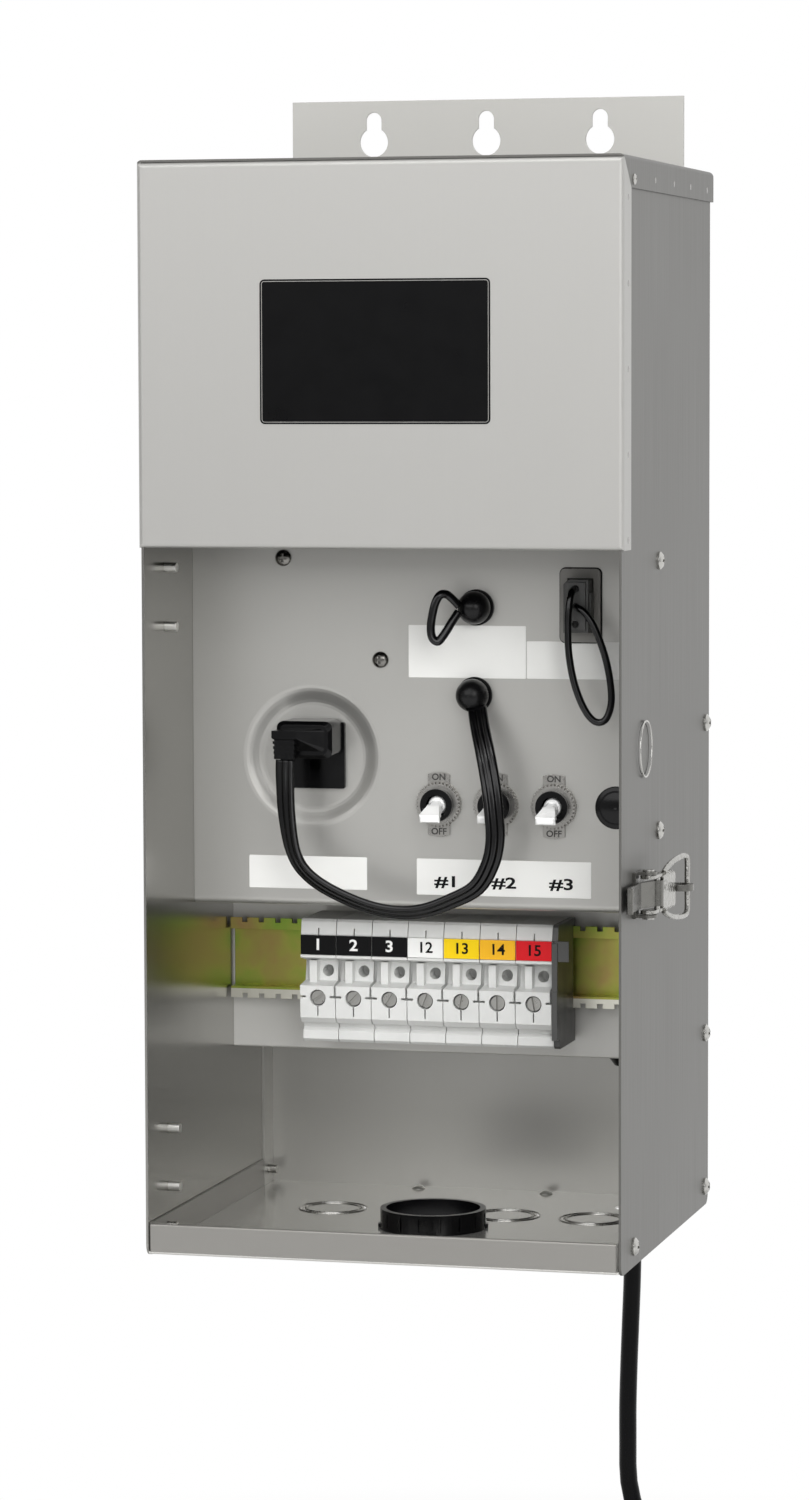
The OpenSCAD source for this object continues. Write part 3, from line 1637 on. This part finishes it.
// Points of the hanging stretch, chosen by hand and given from its start
power_start = [cord_x, cord_y, down(rail_panel_bottom) - relief_head_h];
power_route = hung([[0, 0, 0], [0, 0, -12.5], [0.2, 0, -28.5], [0.8, 0, -44.5], [1.4, 0, -60.5],
  [1.8, 0, -76.5], [1.6, 0, -94.5], [1, 0, -112.5], [0.4, 0, -130.5], [0, 0, -148.5]],
  power_start, coil_top + [0, 0, 3.5 * cord_d]);
module power_cord() {
  path = concat(power_route, [coil_top + [0, 0, 1.8 * cord_d], coil_top + [0, 0, cord_d]]);
  color(black)
    tube(path, cord_d, 10, [0, 1, 0]);
}

module cord_coil() {
  color(black)
    tube(coil_path, cord_d, 6, [0, 1, 0]);
}

// Least gap of the coil to itself, over points half a turn or more apart
function gap_from(i) = min([for (j = [i + coil_rings / 2 : len(coil_path) - 3])
  norm(coil_path[i] - coil_path[j])]);
least_gap = min([for (i = [5 : len(coil_path) - coil_rings / 2 - 4]) gap_from(i)]) - cord_d;
echo(least_gap = least_gap);

tie_w = 12;
tie_t = 1.2;
tie_angle = 240;
module cord_tie() {
  mid_r = coil_r - coil_pitch * coil_span / 4;
  across = coil_pitch * (coil_turns / 2 - 0.5) + cord_d + 2 * move_gap;
  thick = coil_pitch + cord_d + move_gap;
  r = 0.4 * thick;
  color(black)
    translate([coil_x, cord_y + coil_pitch / 2, coil_z])
      rotate([0, tie_angle, 0])
        translate([0, 0, mid_r])
          rotate([0, 90, 0])
            linear_extrude(tie_w, center = true)
              difference() {
                round_rect(across + 2 * tie_t, thick + 2 * tie_t, r + tie_t);
                round_rect(across, thick, r);
              }
}

// Mains plug: moulded body with a ribbed tail, two blades and an earth pin
plug_body = [25, 22, 24];
plug_tail_l = 26;
plug_tail_d = 14;
plug_ribs = 4;
earth_pin = [4.8, 19];
blades_up = 3.5;
module power_plug() {
  rib = plug_tail_l / (2 * plug_ribs + 8);
  corner = 0.27 * plug_body[1];
  translate(coil_tail - [0, 0, tail_l])
    mirror([0, 0, 1]) {
      color(black) {
        difference() {
          cylinder(h = plug_tail_l, d1 = 1.4 * cord_d, d2 = plug_tail_d);
          for (k = [1 : plug_ribs])
            translate([0, 0, 3 * k * rib])
              difference() {
                cylinder(h = rib, d = 2 * plug_tail_d);
                cylinder(h = 3 * rib, d = cord_d + k * rib / 2 + rib, center = true);
              }
        }
        translate([0, 0, plug_tail_l])
          linear_extrude(plug_body[2])
            round_rect(plug_body[0], plug_body[1], corner);
      }
      color("#c9b36a")
        translate([0, 0, plug_tail_l + plug_body[2]]) {
          for (s = [-1, 1])
            translate([s * blade_gap / 2, blades_up, blade_l / 2])
              cube([blade_t, blade_w, blade_l], center = true);
          translate([0, blades_up - earth_drop, 0])
            cylinder(h = earth_pin[1], d = earth_pin[0]);
        }
    }
}

side_panel_left();
side_panel_right();
back_panel();
wall_bracket();
lid();
front_cover();
floor_tray();
floor_edges();
control_panel();
terminal_panel();
mounting_rail();
case_screws();
hinge_screws();
floor_rivets();
panel_screws();
rail_screws();
conduit_bushing();
toroid_winding();
pad_rear();
pad_front();
clamp_dish();
clamp_stud();
clamp_nut();
timer_receptacle();
timer_plug();
timer_cord();
cord_grommet();
loop_grommet();
test_loop();
photocell_socket();
jumper_plug();
jumper_wire();
switch_bodies();
switch_plates();
switch_nuts();
toggle_lever_1();
toggle_lever_2();
toggle_lever_3();
hole_plug();
terminal_block_1();
terminal_block_2();
terminal_block_3();
terminal_block_4();
terminal_block_5();
terminal_block_6();
terminal_block_7();
end_plate();
terminal_markers();
clamp_screws();
latch_base();
latch_pivots();
latch_lever();
hook_pin();
latch_hook();
cord_relief();
power_cord();
cord_coil();
cord_tie();
power_plug();
